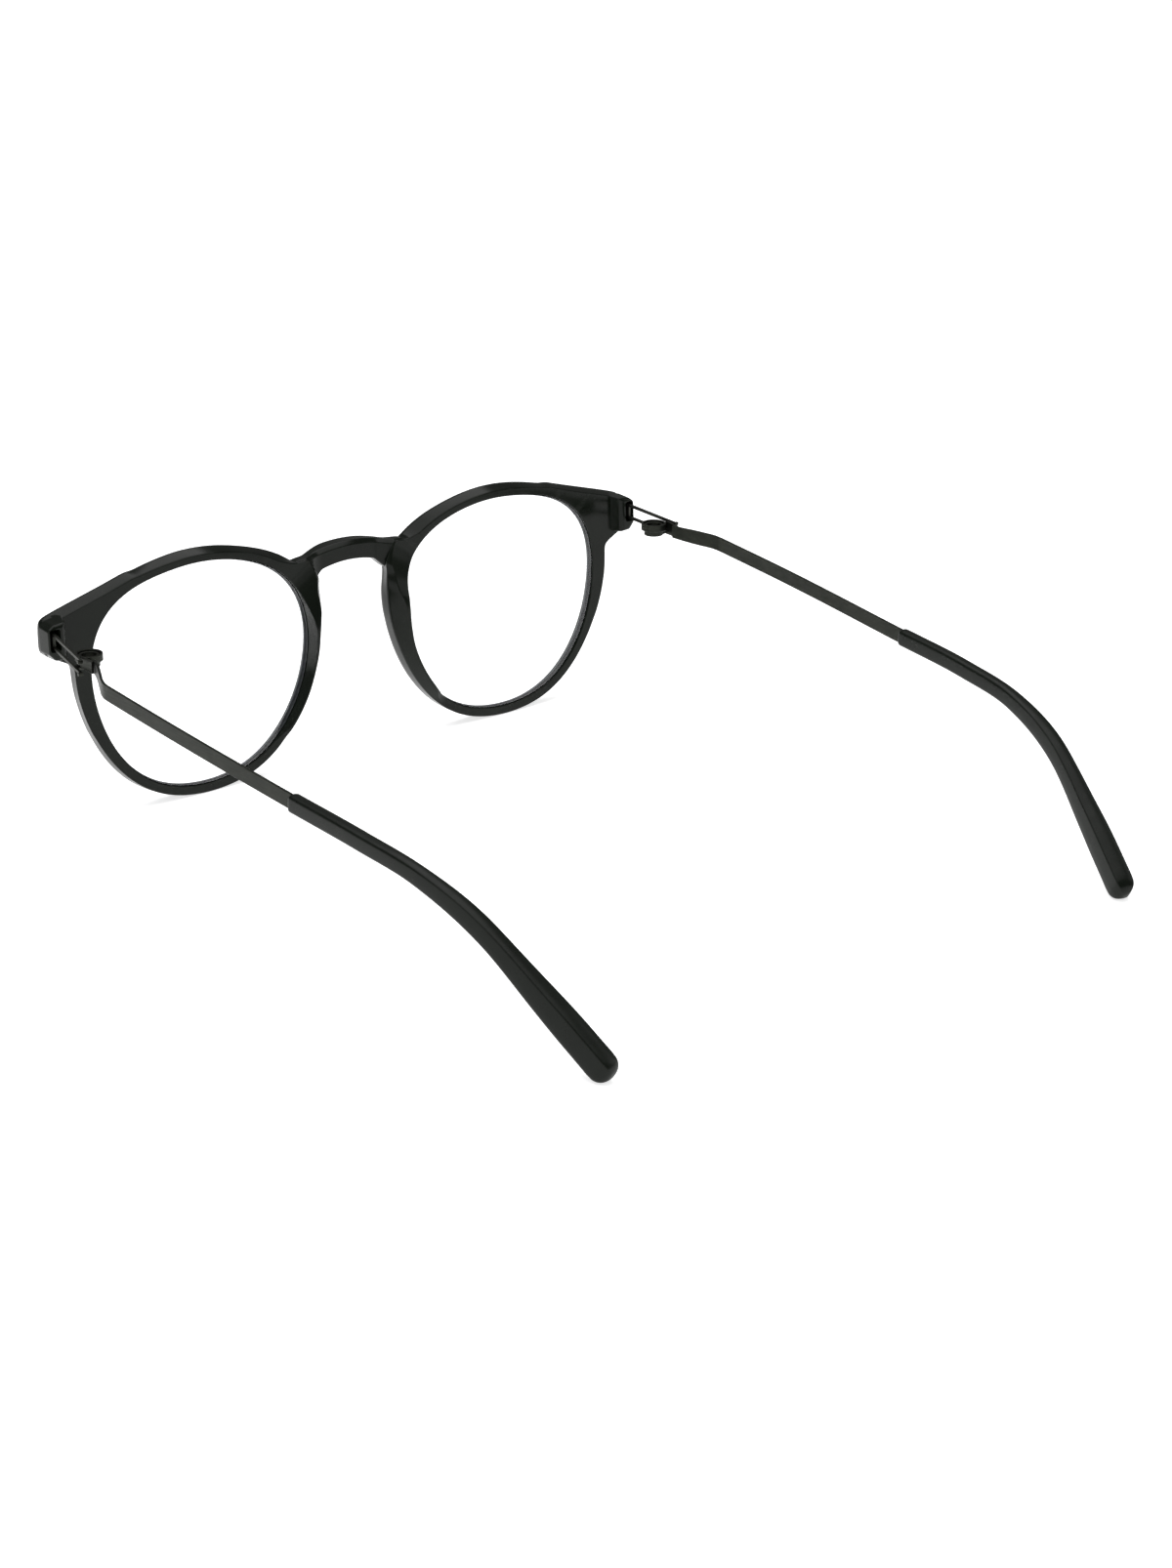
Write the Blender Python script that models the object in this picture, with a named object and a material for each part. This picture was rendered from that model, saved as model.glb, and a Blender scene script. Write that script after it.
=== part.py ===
"""Eyeglasses: a panto acetate front with a keyhole bridge and carved nose pads, two clear lenses,
two screwless sheet-metal hinges, two sheet-metal temples and two acetate temple tips.

Working frame of the helpers: millimetres, x towards the wearer's left, y towards the ears,
z up, with y = 0 on the flat back face of the front and z = 0 at the height of the lens centres.
place() moves it to the object's own frame: metres, +Z up, origin under the middle of the
bounding box, with the rims and the temple tips standing on z = 0.
"""

import math

import bpy
import bmesh
from mathutils import Vector

# ---------------------------------------------------------------- driving dimensions (mm)
LENS_CENTRE_X = 33.5  # half the distance between the lens centres: lens 47, bridge 20
LENS_CENTRE_HEIGHT = 22.67  # above the table
MID_Y = 68.96  # middle of the object's depth, measured from the back face of the front
FRONT_TILT = math.radians(2.85)  # the top of the front leans forward
REST_PITCH = math.radians(1.00)  # the whole leans back until the tips touch the table

# Opening of a rim, as a radius about the lens centre: mean radius, then the (cos, sin)
# amplitudes of each harmonic. They make the rounded upper corners of a panto lens.
OPENING_RADIUS = 22.04
OPENING_HARMONICS = ((0.06, 0.40), (1.03, 0.04), (-0.10, 0.82), (-0.35, 0.04), (-0.07, 0.12), (-0.07, -0.02), (0.0, -0.06))

FRONT_THICKNESS = 3.75
DOME_DEPTH = 1.75  # depth of the rounded front of the rim
RIM_WIDTH = 1.72
BACK_EDGE = 0.2

# (angle in degrees, half width in degrees, added width) of the places where the rim is wider
FRONT_WIDENINGS = ((90.0, 50.0, 0.50), (12.0, 24.0, 0.85), (325.0, 38.0, 0.28), (268.0, 32.0, -0.11))
BACK_WIDENINGS = ((90.0, 48.0, -0.32), (10.0, 30.0, 1.35), (268.0, 32.0, -0.03))

# End piece: its top line, outer side and underside
END_TOP_X, END_TOP_Z, END_TOP_SLOPE = 62.0, 16.68, -0.275
END_TOP_BACK_DROP = 0.85
END_SIDE_X = 65.4
END_SIDE_FRONT = 65.15
END_UNDER_X, END_UNDER_Z, END_UNDER_SLOPE = 62.3, 8.15, 0.45
END_BLOCK_X, END_BLOCK_RISE = 60.6, 2.3  # inner side and height of the thick outer end

# Nasal side of a rim, with the nose pad carved from it: angle about the lens centre (degrees),
# added width at the back, added width at the front, set-back of the crest from the back's
# outline, height of the crest behind the back face
NASAL = (
    (96.0, 0.0, 0.0, 0.2, 0.0), (105.0, 0.0, 0.03, 0.2, 0.0), (112.0, 0.0, 0.09, 0.2, 0.0), (120.0, 0.0, 0.26, 0.2, 0.0),
    (130.0, 0.05, 0.70, 0.2, 0.0), (135.0, 0.17, 1.00, 0.2, 0.0), (138.0, 0.55, 1.20, 0.2, 0.0), (141.0, 1.25, 1.42, 0.2, 0.0),
    (143.0, 2.05, 1.65, 0.2, 0.0), (145.6, 3.75, 2.2, 0.2, 0.0), (150.0, 3.65, 2.8, 0.5, 0.22), (153.3, 3.55, 2.7, 0.9, 0.5),
    (157.5, 2.65, 1.9, 1.17, 0.98), (161.0, 2.24, 1.58, 1.33, 1.55), (164.0, 1.90, 1.48, 1.5, 2.1), (167.0, 1.57, 1.32, 1.85, 2.6),
    (173.0, 1.15, 0.95, 2.2, 2.95), (180.0, 0.77, 0.53, 2.0, 2.85), (190.0, 0.28, 0.2, 1.55, 2.5), (200.0, 0.07, 0.06, 1.38, 2.35),
    (215.0, 0.0, 0.0, 1.27, 2.0), (221.0, 0.0, 0.0, 1.0, 1.4), (226.0, 0.0, 0.0, 0.55, 0.4), (231.0, 0.0, 0.0, 0.2, 0.0),
)

GROOVE_Y, GROOVE_HALF, GROOVE_DEPTH = -1.3, 0.68, 0.68

LENS_THICKNESS = 1.8
LENS_BULGE = 1.5
LENS_CLEARANCE = 0.12

# Bridge bar
BRIDGE_TOP, BRIDGE_UNDER = 17.95, 14.3
BRIDGE_TOP_DROP, BRIDGE_UNDER_DROP = 0.0150, 0.022
BRIDGE_BACK, BRIDGE_FRONT = -1.5, -5.8
BRIDGE_HALF = 12.9

# Hinge
PIVOT_X, PIVOT_Y = 62.8, 10.6
RING_OUTER, RING_INNER = 2.4, 1.98
RING_BOTTOM, RING_TOP = 11.5, 12.8
BARREL_OUTER, BARREL_INNER, BARREL_TOP = 1.85, 1.35, 12.55
SHEET = 0.5
FORK_X0, FORK_LEAN = 64.1, 0.137  # the fork's plane: x = FORK_X0 + FORK_LEAN * y
FORK_FALL = 0.10
FORK_END_Y = 13.6
STRUT_HEIGHT = 0.5
STRUT_TOP_Z, STRUT_LOW_Z = 14.05, 11.65  # strut centre lines where they leave the end piece
SLOT_WIDTH, SLOT_OUTER, SLOT_DEPTH = 1.7, 0.62, 2.7

# Temple
ARM_HEIGHT = 2.7
CORE_HEIGHT = 1.9
ARM_START = (64.2, 14.75)
ARM_FOOT = (64.45, 15.7)
SLEEVE_START = 77.5
CORE_END = 112.0
# stations of the temple's centre line (y, x, z), from the bend behind the hinge to the tip
TEMPLE_STATIONS = ((23.6, 68.0, 10.8), (45.0, 67.4, 9.2), (77.0, 65.7, 6.6), (95.0, 64.6, 5.2), (108.0, 63.3, 3.4), (120.0, 61.2, -1.1), (132.0, 58.1, -9.8), (143.0, 55.0, -18.45))
# sleeve section: (y, height, thickness)
SLEEVE_SECTIONS = ((77.5, 3.2, 2.25), (104.0, 3.2, 2.3), (122.0, 3.65, 2.85), (138.0, 4.8, 3.8), (143.0, 4.85, 3.85))

MM = 0.001


# ---------------------------------------------------------------- helpers
def clear_scene():
    for obj in list(bpy.data.objects):
        bpy.data.objects.remove(obj, do_unlink=True)


def place(x, y, z):
    c, s = math.cos(REST_PITCH), math.sin(REST_PITCH)
    return Vector((x * MM, (y * c + z * s - MID_Y) * MM, (z * c - y * s + LENS_CENTRE_HEIGHT) * MM))


def tilt(x, y, z):
    """A point of the upright front, leaned forward with it."""
    c, s = math.cos(FRONT_TILT), math.sin(FRONT_TILT)
    return x, y * c - z * s, y * s + z * c


def smooth(t):
    t = min(1.0, max(0.0, t))
    return t * t * (3.0 - 2.0 * t)


def soft_max(a, b, k):
    return 0.5 * (a + b + math.sqrt((a - b) ** 2 + k * k))


def soft_min(a, b, k):
    return 0.5 * (a + b - math.sqrt((a - b) ** 2 + k * k))


def wrap(degrees):
    return (degrees + 180.0) % 360.0 - 180.0


def material(name, colour, roughness, metallic=0.0, transmission=0.0):
    mat = bpy.data.materials.get(name)
    if mat is None:
        mat = bpy.data.materials.new(name)
        mat.use_nodes = True
        shader = mat.node_tree.nodes["Principled BSDF"]
        shader.inputs["Base Color"].default_value = (*colour, 1.0)
        shader.inputs["Roughness"].default_value = roughness
        shader.inputs["Metallic"].default_value = metallic
        shader.inputs["Transmission Weight"].default_value = transmission
    return mat


def mesh_object(name, points, faces, mat, origin=None, parent=None, guide=False):
    """A mesh object from working-frame points, its origin on origin (a working-frame point)."""
    at = place(*origin) if origin else Vector((0.0, 0.0, 0.0))
    mesh = bpy.data.meshes.new(name)
    mesh.from_pydata([place(*p) - at for p in points], [], faces)
    bm = bmesh.new()
    bm.from_mesh(mesh)
    bmesh.ops.recalc_face_normals(bm, faces=bm.faces)
    if bm.calc_volume(signed=True) < 0.0:
        bmesh.ops.reverse_faces(bm, faces=bm.faces)
    bm.to_mesh(mesh)
    bm.free()
    if mat:
        mesh.materials.append(mat)
    mesh.shade_smooth()
    mesh.set_sharp_from_angle(angle=math.radians(40.0))
    obj = bpy.data.objects.new(name, mesh)
    bpy.context.scene.collection.objects.link(obj)
    obj.location = at
    if parent:
        obj.parent = parent
        obj.location = at - parent.location
    if guide:
        obj.hide_render = True
        obj.display_type = "WIRE"
    return obj


def loft(sections, closed=False):
    """Points and faces of a skin through equal-length loops, capped unless it closes on itself."""
    n, m = len(sections), len(sections[0])
    points = [p for loop in sections for p in loop]
    faces = []
    for i in range(n if closed else n - 1):
        a, b = i * m, (i + 1) % n * m
        faces += [(a + j, a + (j + 1) % m, b + (j + 1) % m, b + j) for j in range(m)]
    if not closed:
        faces.append(tuple(range(m))[::-1])
        faces.append(tuple((n - 1) * m + j for j in range(m)))
    return points, faces


def boolean(obj, other, operation):
    modifier = obj.modifiers.new(operation.title() + "_" + other.name, "BOOLEAN")
    modifier.operation = operation
    modifier.solver = "EXACT"
    modifier.object = other


# ---------------------------------------------------------------- front
def opening(angle):
    return OPENING_RADIUS + sum(
        c * math.cos((k + 1) * angle) + s * math.sin((k + 1) * angle)
        for k, (c, s) in enumerate(OPENING_HARMONICS)
    )


def widened(angle, places):
    degrees = math.degrees(angle)
    return RIM_WIDTH + sum(add * math.exp(-((wrap(degrees - at) / half) ** 2)) for at, half, add in places)


def end_piece(angle, drop, side_x):
    """Distance from the lens centre to the end piece's outline, 0 where the ray misses it."""
    c, s = math.cos(angle), math.sin(angle)
    if c <= 0.05:
        return 0.0
    side = (side_x - LENS_CENTRE_X) / c
    top_at_centre = END_TOP_Z - drop - END_TOP_SLOPE * (END_TOP_X - LENS_CENTRE_X)
    top = top_at_centre / (s - END_TOP_SLOPE * c) if s - END_TOP_SLOPE * c > 0.01 else 1e3
    under_at_centre = END_UNDER_Z - END_UNDER_SLOPE * (END_UNDER_X - LENS_CENTRE_X)
    steep = s - END_UNDER_SLOPE * c
    under = under_at_centre / steep if steep < -0.02 else 1e3
    reach = soft_min(soft_min(side, min(top, 60.0), 1.4), min(under, 60.0), 2.6)
    return reach - 4.0 * smooth((math.degrees(angle) - 56.0) / 18.0)


def between(rows, at):
    """Monotone cubic values of the columns after the first, flat beyond the first and last rows."""
    n = len(rows)
    if at <= rows[0][0]:
        return rows[0][1:]
    if at >= rows[-1][0]:
        return rows[-1][1:]
    i = max(k for k in range(n - 1) if rows[k][0] <= at)

    def grade(k, column):
        if k in (0, n - 1):
            return 0.0
        before = (rows[k][column] - rows[k - 1][column]) / (rows[k][0] - rows[k - 1][0])
        after = (rows[k + 1][column] - rows[k][column]) / (rows[k + 1][0] - rows[k][0])
        return 0.0 if before * after <= 0.0 else 2.0 * before * after / (before + after)

    step = rows[i + 1][0] - rows[i][0]
    t = (at - rows[i][0]) / step
    values = []
    for column in range(1, len(rows[0])):
        m0, m1 = grade(i, column) * step, grade(i + 1, column) * step
        values.append(
            (2 * t**3 - 3 * t**2 + 1) * rows[i][column] + (t**3 - 2 * t**2 + t) * m0
            + (-2 * t**3 + 3 * t**2) * rows[i + 1][column] + (t**3 - t**2) * m1
        )
    return values


def rim_section(angle, side):
    """The closed section of one rim at this angle about its lens centre."""
    inner = opening(angle)
    front = widened(angle, FRONT_WIDENINGS)
    back = widened(angle, BACK_WIDENINGS)
    more_back, more_front, set_back, rise = between(NASAL, math.degrees(angle) % 360.0)
    front, back = front + more_front, back + more_back
    fillet = 0.5 + 2.3 * smooth((22.0 - abs(wrap(math.degrees(angle)))) / 7.0)
    front = soft_max(inner + front, end_piece(angle, 0.0, END_SIDE_FRONT), fillet) - inner
    back = soft_max(inner + back, end_piece(angle, END_TOP_BACK_DROP, END_SIDE_X), fillet) - inner
    dome_y = -(FRONT_THICKNESS - DOME_DEPTH)
    dome_in = min(1.6, 0.56 * front)
    dome_out = min(1.3, 0.40 * front)
    low, mid = math.radians(30.0), math.radians(60.0)
    rear = max(back - set_back, 0.42)
    profile = [
        (BACK_EDGE, rise),
        (0.0, rise - BACK_EDGE),
        (0.0, GROOVE_Y + GROOVE_HALF),
        (GROOVE_DEPTH, GROOVE_Y),
        (0.0, GROOVE_Y - GROOVE_HALF),
        (dome_in * (1.0 - math.cos(low)), dome_y - DOME_DEPTH * math.sin(low)),
        (dome_in * (1.0 - math.cos(mid)), dome_y - DOME_DEPTH * math.sin(mid)),
        (dome_in, dome_y - DOME_DEPTH),
        (front - dome_out, dome_y - DOME_DEPTH),
        (front - dome_out * (1.0 - math.cos(mid)), dome_y - DOME_DEPTH * math.sin(mid)),
        (front - dome_out * (1.0 - math.cos(low)), dome_y - DOME_DEPTH * math.sin(low)),
        (front, dome_y),
        (back, -BACK_EDGE),
        (rear, rise),
    ]
    c, s = math.cos(angle), math.sin(angle)
    return [tilt(side * (LENS_CENTRE_X + (inner + r) * c), y, (inner + r) * s) for r, y in profile]


def rim_angles():
    """Closer together round the end piece's corners."""
    angles, degrees = [], 0.0
    while degrees < 359.0:
        angles.append(math.radians(degrees))
        near = wrap(degrees - 21.0)
        nasal = 134.0 < degrees < 178.0 or 214.0 < degrees < 232.0
        degrees += 1.5 if abs(near) < 9.0 else (2.0 if nasal else (2.5 if abs(near) < 20.0 else 5.0))
    return angles


def rim(name, side, mat, guide):
    points, faces = loft([rim_section(a, side) for a in rim_angles()], closed=True)
    return mesh_object(name, points, faces, mat, guide=guide)


def bridge_section(x):
    out = abs(x)
    top = BRIDGE_TOP - BRIDGE_TOP_DROP * x * x + 0.75 * smooth((out - 8.3) / 4.2)
    under = BRIDGE_UNDER - BRIDGE_UNDER_DROP * x * x - 1.5 * smooth((out - 5.5) / 3.2) + 4.9 * smooth((out - 9.2) / 4.2)
    back = BRIDGE_BACK + 1.45 * min(1.0, max(0.0, out - 5.6) / 3.9) ** 2
    front = BRIDGE_FRONT + 2.15 * smooth((out - 3.0) / 8.6)
    rb, rf = 0.55, 1.1
    loop = [
        (back, under + rb), (back, top - 1.5 * rb), (back - rb, top - 0.4 * rb),
        (front + rf, top), (front + 0.3 * rf, top - 0.3 * rf), (front, top - rf),
        (front, under + rf), (front + 0.3 * rf, under + 0.3 * rf), (front + rf, under),
        (back - rb, under),
    ]
    return [tilt(x, y, z) for y, z in loop]


def end_block(side, label):
    """The thicker outer end of the end piece, which takes the hinge."""
    loops = []
    for y, grow in ((-1.2, 0.0), (END_BLOCK_RISE - 0.5, 0.0), (END_BLOCK_RISE - 0.15, -0.22), (END_BLOCK_RISE, -0.6)):
        lean = 0.70 * max(0.0, y)
        fall = 0.1 * (y + BACK_EDGE)
        x0, x1 = END_BLOCK_X + lean - grow, END_SIDE_X - 0.06 + grow
        low0, low1 = END_UNDER_Z + 0.75 - grow, END_UNDER_Z + 2.2 - grow
        top0 = END_TOP_Z + END_TOP_SLOPE * (x0 - END_TOP_X) - END_TOP_BACK_DROP - fall + grow
        top1 = END_TOP_Z + END_TOP_SLOPE * (x1 - END_TOP_X) - 0.95 - fall + grow
        outline = [
            (x0, low0), (x1 - 1.15, low0 + 0.1), (x1, low1), (x1, top1), (x1 - 1.1, top1 + 0.78), (x0, top0),
        ]
        loops.append([tilt(side * x, y, z) for x, z in outline])
    points, faces = loft(loops)
    return mesh_object("end_block_guide_" + label, points, faces, None, guide=True)


def build_front(mat):
    front = rim("front", 1.0, mat, False)
    other = rim("rim_guide_right", -1.0, None, True)
    steps = 28
    xs = [-BRIDGE_HALF + 2.0 * BRIDGE_HALF * i / steps for i in range(steps + 1)]
    points, faces = loft([bridge_section(x) for x in xs])
    bar = mesh_object("bridge_guide", points, faces, None, guide=True)
    boolean(front, bar, "UNION")
    boolean(front, other, "UNION")
    for side, label in ((1.0, "left"), (-1.0, "right")):
        boolean(front, end_block(side, label), "UNION")
        boolean(front, slot_cutter(side, label), "DIFFERENCE")
    return front


def fork_point(side, along, across, z):
    """A point given along the fork's sheet (from the front's back face) and across it."""
    lean = math.atan(FORK_LEAN)
    return (
        side * (FORK_X0 + along * math.sin(lean) + across * math.cos(lean)),
        along * math.cos(lean) - across * math.sin(lean),
        z,
    )


def block(side, along, across, low, high):
    """Eight corners of a bar in the fork's plane; low and high are (z at start, z at end)."""
    loops = []
    for a, lo, hi in ((along[0], low[0], high[0]), (along[1], low[1], high[1])):
        loops.append([fork_point(side, a, c, z) for c, z in ((across[0], lo), (across[1], lo), (across[1], hi), (across[0], hi))])
    return loft(loops)


def slot_cutter(side, label):
    middle = 0.5 * (STRUT_TOP_Z + STRUT_LOW_Z)
    tall = 0.5 * (STRUT_TOP_Z - STRUT_LOW_Z) + 0.6
    points, faces = block(
        side, (-SLOT_DEPTH, 4.0), (SLOT_OUTER - SLOT_WIDTH, SLOT_OUTER),
        (middle - tall + 0.2, middle - tall), (middle + tall + 0.2, middle + tall),
    )
    return mesh_object("slot_guide_" + label, points, faces, None, guide=True)


# ---------------------------------------------------------------- lenses
def build_lens(side, label, mat):
    """A meniscus with a V edge, held in the rim's groove."""
    half = 0.5 * LENS_THICKNESS
    steps = 72

    def level(fraction, y, beyond):
        loop = []
        for i in range(steps):
            a = 2.0 * math.pi * i / steps
            r = (opening(a) + beyond) * fraction
            loop.append(tilt(side * (LENS_CENTRE_X + r * math.cos(a)), y - LENS_BULGE * (1.0 - fraction * fraction), r * math.sin(a)))
        return loop

    body, ridge = -LENS_CLEARANCE, GROOVE_DEPTH - 2.0 * LENS_CLEARANCE
    loops = [level(f, GROOVE_Y + half, body) for f in (0.4, 0.72, 1.0)]
    loops += [level(1.0, GROOVE_Y + 0.42, body), level(1.0, GROOVE_Y, ridge), level(1.0, GROOVE_Y - 0.42, body)]
    loops += [level(f, GROOVE_Y - half, body) for f in (1.0, 0.72, 0.4)]
    points = [p for loop in loops for p in loop]
    faces = []
    for k in range(len(loops) - 1):
        a, b = k * steps, (k + 1) * steps
        faces += [(a + j, a + (j + 1) % steps, b + (j + 1) % steps, b + j) for j in range(steps)]
    back_pole, front_pole = len(points), len(points) + 1
    points.append(tilt(side * LENS_CENTRE_X, GROOVE_Y - LENS_BULGE + half, 0.0))
    points.append(tilt(side * LENS_CENTRE_X, GROOVE_Y - LENS_BULGE - half, 0.0))
    last = (len(loops) - 1) * steps
    faces += [(back_pole, (j + 1) % steps, j) for j in range(steps)]
    faces += [(front_pole, last + j, last + (j + 1) % steps) for j in range(steps)]
    return mesh_object("lens_" + label, points, faces, mat)


# ---------------------------------------------------------------- hinge
def disc(centre, radius, z, steps=28):
    return [(centre[0] + radius * math.cos(2.0 * math.pi * i / steps), centre[1] + radius * math.sin(2.0 * math.pi * i / steps), z) for i in range(steps)]


def tube(side, outer, inner, low, high, steps=28):
    centre = (side * PIVOT_X, PIVOT_Y)
    loops = [disc(centre, r, z, steps) for r, z in ((outer, low), (outer, high), (inner, high), (inner, low))]
    return loft(loops, closed=True)


def strut_z(start, along):
    return start - FORK_FALL * along


def build_fork(side, label, mat):
    """Anchor plate in the end piece's slot, two struts and the pivot barrel, in one piece."""
    name = "hinge_fork_" + label
    half = 0.5 * SHEET
    strut = 0.5 * STRUT_HEIGHT
    # outline of the sheet, along the fork and up: a U lying on its side, its closed end in the slot
    outline = []
    for along, start, edge in (
        (-2.4, STRUT_LOW_Z, -1.0), (FORK_END_Y, STRUT_LOW_Z, -1.0), (FORK_END_Y, STRUT_LOW_Z, 1.0), (1.4, STRUT_LOW_Z, 1.0),
        (1.4, STRUT_TOP_Z, -1.0), (FORK_END_Y, STRUT_TOP_Z, -1.0), (FORK_END_Y, STRUT_TOP_Z, 1.0), (-2.4, STRUT_TOP_Z, 1.0),
    ):
        outline.append((along, strut_z(start, along) + edge * strut))
    loops = [[fork_point(side, along, across, z) for along, z in outline] for across in (-half, half)]
    points, faces = loft(loops)
    fork = mesh_object(name, points, faces, mat)
    pieces = []
    for where, start, nudge in (("top", STRUT_TOP_Z, -0.08), ("low", STRUT_LOW_Z, 0.08)):
        tab = strut_z(start, FORK_END_Y) + nudge
        points, faces = block(side, (FORK_END_Y - 0.45, FORK_END_Y + 0.1), (-half + 0.05, half + 0.4), (tab - 0.29, tab - 0.29), (tab + 0.29, tab + 0.29))
        pieces.append(mesh_object("tab_guide_" + where + "_" + label, points, faces, None, guide=True))
    # a lug under the ring carries the pivot barrel
    low = strut_z(STRUT_LOW_Z, PIVOT_Y) - strut + 0.05
    x_in, x_out = PIVOT_X - 0.2, FORK_X0 + FORK_LEAN * PIVOT_Y
    corners = [(x_in + 1.6, -0.8), (x_out, -0.8), (x_out, 0.8), (x_in + 1.6, 0.8)]
    loops = [[(side * x, PIVOT_Y + y, z) for x, y in corners] for z in (low, low + 0.42)]
    points, faces = loft(loops)
    pieces.append(mesh_object("lug_guide_" + label, points, faces, None, guide=True))
    points, faces = tube(side, BARREL_OUTER, BARREL_INNER, low + 0.1, BARREL_TOP)
    pieces.append(mesh_object("barrel_guide_" + label, points, faces, None, guide=True))
    for piece in pieces:
        boolean(fork, piece, "UNION")
    return fork


def sheet(side, path, thickness):
    """A bent strip: path rows are (x, y, z middle, height)."""
    loops = []
    for i, (x, y, z, height) in enumerate(path):
        before, after = path[max(i - 1, 0)], path[min(i + 1, len(path) - 1)]
        direction = Vector((after[0] - before[0], after[1] - before[1])).normalized()
        across = Vector((direction.y, -direction.x)) * 0.5 * thickness
        loops.append([(side * (x + sx * across.x), y + sx * across.y, z + sz * 0.5 * height) for sx, sz in ((-1, -1), (1, -1), (1, 1), (-1, 1))])
    return loft(loops)


def build_coil(side, label, mat, pivot):
    """The rolled spring ring round the barrel and its short plate, in one piece."""
    origin = (side * PIVOT_X, PIVOT_Y, 0.5 * (RING_BOTTOM + RING_TOP))
    points, faces = tube(side, RING_OUTER, RING_INNER, RING_BOTTOM, RING_TOP)
    coil = mesh_object("hinge_coil_" + label, points, faces, mat, origin=origin, parent=pivot)
    middle = 0.5 * (RING_BOTTOM + RING_TOP)
    path = [
        (PIVOT_X + 2.19, PIVOT_Y - 0.1, middle, 1.1),
        (PIVOT_X + 2.22, PIVOT_Y + 0.7, middle - 0.05, 1.3),
        (PIVOT_X + 2.24, PIVOT_Y + 1.3, middle - 0.10, 1.9),
        (PIVOT_X + 2.22, PIVOT_Y + 2.3, middle - 0.18, 2.1),
        (PIVOT_X + 2.08, PIVOT_Y + 3.4, middle - 0.28, 2.1),
        (PIVOT_X + 2.04, PIVOT_Y + 4.7, middle - 0.36, 2.1),
    ]
    points, faces = sheet(side, path, 0.42)
    plate = mesh_object("plate_guide_" + label, points, faces, None, guide=True)
    boolean(coil, plate, "UNION")
    return coil


# ---------------------------------------------------------------- temples
def spline(stations, y):
    """Catmull-Rom value of the columns after y at this y, tangents scaled to uneven spacing."""
    n = len(stations)
    i = max(k for k in range(n - 1) if stations[k][0] <= y or k == 0)
    a, b = stations[i], stations[i + 1]
    step = b[0] - a[0]

    def slope(k, column):
        low, high = stations[max(k - 1, 0)], stations[min(k + 1, n - 1)]
        mid = stations[k]
        if k in (0, n - 1):
            return (high[column] - low[column]) / (high[0] - low[0])
        before = (mid[column] - low[column]) / (mid[0] - low[0])
        after = (high[column] - mid[column]) / (high[0] - mid[0])
        weight = (mid[0] - low[0]) / (high[0] - low[0])
        return before * (1.0 - weight) + after * weight

    t = (y - a[0]) / step
    values = []
    for column in range(1, len(a)):
        m0, m1 = slope(i, column) * step, slope(i + 1, column) * step
        values.append(
            (2 * t**3 - 3 * t**2 + 1) * a[column] + (t**3 - 2 * t**2 + t) * m0 + (-2 * t**3 + 3 * t**2) * b[column] + (t**3 - t**2) * m1
        )
    return values


def temple_point(y):
    x, z = spline(TEMPLE_STATIONS, y)
    return Vector((x, y, z))


def temple_frame(y):
    """Centre, height direction and thickness direction of the temple at this y."""
    tangent = (temple_point(min(y + 0.3, 143.0)) - temple_point(y - 0.3)).normalized()
    up = (Vector((0.0, 0.0, 1.0)) - tangent * tangent.z).normalized()
    return temple_point(y), up, tangent.cross(up).normalized(), tangent


def strip_loop(side, y, height, thickness):
    centre, up, out, _ = temple_frame(y)
    loop = []
    for so, su in ((-1, -1), (1, -1), (1, 1), (-1, 1)):
        p = centre + out * (0.5 * so * thickness) + up * (0.5 * su * height)
        loop.append((side * p.x, p.y, p.z))
    return loop


def start_loop(side, x, y, z, direction, height):
    across = Vector((direction[1], -direction[0])).normalized() * (0.5 * SHEET)
    return [(side * (x + s * across.x), y + s * across.y, z + u * 0.5 * height) for s, u in ((-1, -1), (1, -1), (1, 1), (-1, 1))]


def build_arm(side, label, mat, pivot):
    """The sheet-metal temple: a short foot, a bend, the long strip and its core in the tip."""
    first = TEMPLE_STATIONS[0]
    loops = [
        start_loop(side, *ARM_START, 11.75, (0.12, 1.0), ARM_HEIGHT - 0.3),
        start_loop(side, *ARM_FOOT, 11.68, (0.30, 1.0), ARM_HEIGHT - 0.1),
        start_loop(side, 66.6, 20.8, 11.2, (0.43, 1.0), ARM_HEIGHT),
        start_loop(side, 67.55, 22.9, 10.97, (0.36, 1.0), ARM_HEIGHT),
        start_loop(side, first[1] - 0.12, first[0] + 0.6, 10.78, (0.12, 1.0), ARM_HEIGHT),
    ]
    ys = [26.0, 30.0, 38.0, 46.0, 54.0, 62.0, 70.0, SLEEVE_START - 0.25]
    loops += [strip_loop(side, y, ARM_HEIGHT, SHEET) for y in ys]
    loops.append(strip_loop(side, SLEEVE_START - 0.2, CORE_HEIGHT, SHEET))
    core = [78.0, 84.0, 90.0, 95.0, 99.0, 103.0, 107.0, CORE_END]
    loops += [strip_loop(side, y, CORE_HEIGHT, SHEET) for y in core]
    points, faces = loft(loops)
    return mesh_object("temple_arm_" + label, points, faces, mat, origin=(side * first[1], first[0], first[2]), parent=pivot)


def section_size(y):
    rows = SLEEVE_SECTIONS
    for a, b in zip(rows, rows[1:]):
        if y <= b[0]:
            t = smooth((y - a[0]) / (b[0] - a[0]))
            return a[1] + (b[1] - a[1]) * t, a[2] + (b[2] - a[2]) * t
    return rows[-1][1:]


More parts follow.
